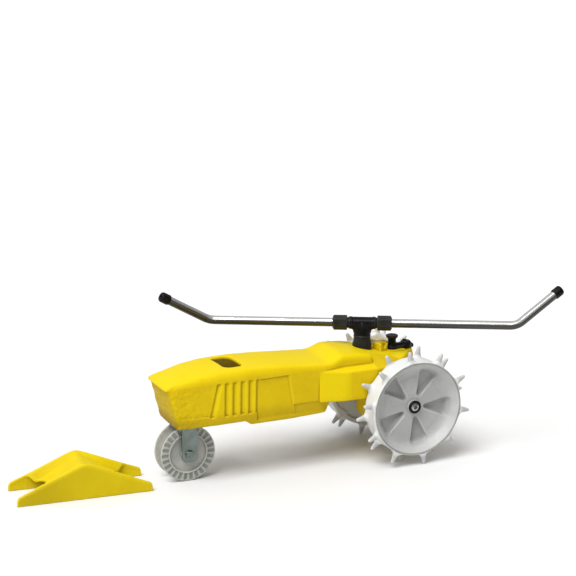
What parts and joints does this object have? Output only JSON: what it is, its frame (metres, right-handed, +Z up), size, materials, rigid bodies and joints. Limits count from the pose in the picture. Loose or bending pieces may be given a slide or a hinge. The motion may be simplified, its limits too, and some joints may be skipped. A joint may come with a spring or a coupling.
{
  "type": "travelling sprinkler",
  "caption": "Travelling lawn sprinkler: yellow cast hood on spiked drive wheels and a grooved steering wheel, with a turning two-arm spray head, gear selector, trip shut-off and a stop ramp.",
  "frame": {"origin": "middle of the bounding box on the ground", "axes": "+Z up, -X towards the nose and the way it travels, +Y towards its right hand side"},
  "size_m": [0.8065, 0.2206, 0.2479],
  "materials": {
    "yellow_paint": "semi-gloss paint over a sand cast skin",
    "yellow_plastic": "moulded, light grain",
    "white_plastic": "moulded, slightly chalky",
    "grey_plastic": "moulded, translucent grey",
    "black_plastic": "moulded, fine grain",
    "stainless": "drawn bright tube",
    "zinc_plate": "zinc plated",
    "steel": "machined",
    "brass": "turned",
    "rubber": "moulded"
  },
  "bodies": {
    "chassis": {"hood": "yellow_paint", "gearcase": "yellow_paint", "gearcase_screws": "zinc_plate", "axle_bush_l": "brass", "axle_bush_r": "brass", "lay_bush_l": "brass", "lay_bush_r": "brass", "riser_collar": "black_plastic", "riser_seal": "rubber", "valve_body": "brass", "valve_seat": "brass", "inlet_ring": "steel", "steer_plate": "zinc_plate", "steer_bush": "black_plastic", "steer_screws": "zinc_plate", "trip_bracket": "zinc_plate", "trip_pin": "steel"},
    "spray_head": {"spindle": "brass", "worm": "steel", "tee": "black_plastic", "arm_nut_l": "black_plastic", "arm_nut_r": "black_plastic"},
    "arm_left": {"tube_l": "stainless", "gasket_l": "rubber", "nozzle_l": "black_plastic"},
    "arm_right": {"tube_r": "stainless", "gasket_r": "rubber", "nozzle_r": "black_plastic"},
    "layshaft": {"layshaft": "steel", "worm_wheel": "brass"},
    "pinions": {"cluster": "steel"},
    "drive_axle": {"axle": "steel", "gear_slow": "steel", "gear_fast": "steel", "wheel_l": "white_plastic", "wheel_r": "white_plastic", "retainer_l": "black_plastic", "retainer_r": "black_plastic"},
    "selector": {"selector": "black_plastic", "selector_crank": "steel", "selector_screw": "zinc_plate"},
    "steering": {"fork": "zinc_plate", "kingpin": "zinc_plate", "front_bolt": "zinc_plate", "front_nut": "zinc_plate"},
    "front_wheel": {"front_wheel": "grey_plastic", "front_bush": "black_plastic"},
    "trip": {"trip_lever": "zinc_plate", "trip_shoe": "black_plastic"},
    "valve": {"valve_stem": "steel", "valve_disc": "rubber"},
    "coupling": {"inlet_nut": "brass", "inlet_washer": "rubber"},
    "ramp": {"ramp": "yellow_plastic"}
  },
  "joints": [
    {"name": "spray_spin", "type": "hinge", "parent": "chassis", "child": "spray_head", "pos_m": [0.12524, 0, 0.15], "axis": [0, 0, 1], "continuous": true},
    {"name": "arm_left_twist", "type": "hinge", "parent": "spray_head", "child": "arm_left", "pos_m": [0.12524, 0, 0.197], "axis": [-0.8846, 0.4664, 0], "range_deg": [-45, 45]},
    {"name": "arm_right_twist", "type": "hinge", "parent": "spray_head", "child": "arm_right", "pos_m": [0.12524, 0, 0.197], "axis": [0.8846, -0.4664, 0], "range_deg": [-45, 45]},
    {"name": "layshaft_turn", "type": "hinge", "parent": "chassis", "child": "layshaft", "pos_m": [0.15814, 0, 0.12294], "axis": [0, 1, 0], "continuous": true},
    {"name": "pinion_shift", "type": "slide", "parent": "layshaft", "child": "pinions", "axis": [0, 1, 0], "range_m": [0, 0.0122]},
    {"name": "axle_turn", "type": "hinge", "parent": "chassis", "child": "drive_axle", "pos_m": [0.17124, 0, 0.08621], "axis": [0, 1, 0], "continuous": true},
    {"name": "selector_swing", "type": "hinge", "parent": "chassis", "child": "selector", "pos_m": [0.19724, 0, 0.153], "axis": [0, 0, -1], "range_deg": [0, 17.3]},
    {"name": "steer", "type": "hinge", "parent": "chassis", "child": "steering", "pos_m": [-0.15376, 0, 0.093], "axis": [0, 0, 1], "range_deg": [-35, 35]},
    {"name": "front_wheel_roll", "type": "hinge", "parent": "steering", "child": "front_wheel", "pos_m": [-0.15376, 0, 0.041], "axis": [0, 1, 0], "continuous": true},
    {"name": "trip_swing", "type": "hinge", "parent": "chassis", "child": "trip", "pos_m": [0.20124, 0, 0.0385], "axis": [0, 1, 0], "range_deg": [0, 14]},
    {"name": "valve_lift", "type": "slide", "parent": "chassis", "child": "valve", "axis": [0, 0, 1], "range_m": [0, 0.0118]},
    {"name": "coupling_spin", "type": "hinge", "parent": "chassis", "child": "coupling", "pos_m": [0.22724, 0, 0.068], "axis": [1, 0, 0], "continuous": true},
    {"name": "ramp_place", "type": "slide", "parent": "chassis", "child": "ramp", "axis": [1, 0, 0], "range_m": [-0.3, 0]}
  ],
  "couplings": [
    {"joint": "layshaft_turn", "follows": "spray_spin", "ratio": -0.033333},
    {"joint": "axle_turn", "follows": "spray_spin", "ratio": 0.0083333},
    {"joint": "pinion_shift", "follows": "selector_swing", "m_per_rad": 0.0397},
    {"joint": "valve_lift", "follows": "trip_swing", "m_per_rad": 0.048}
  ]
}
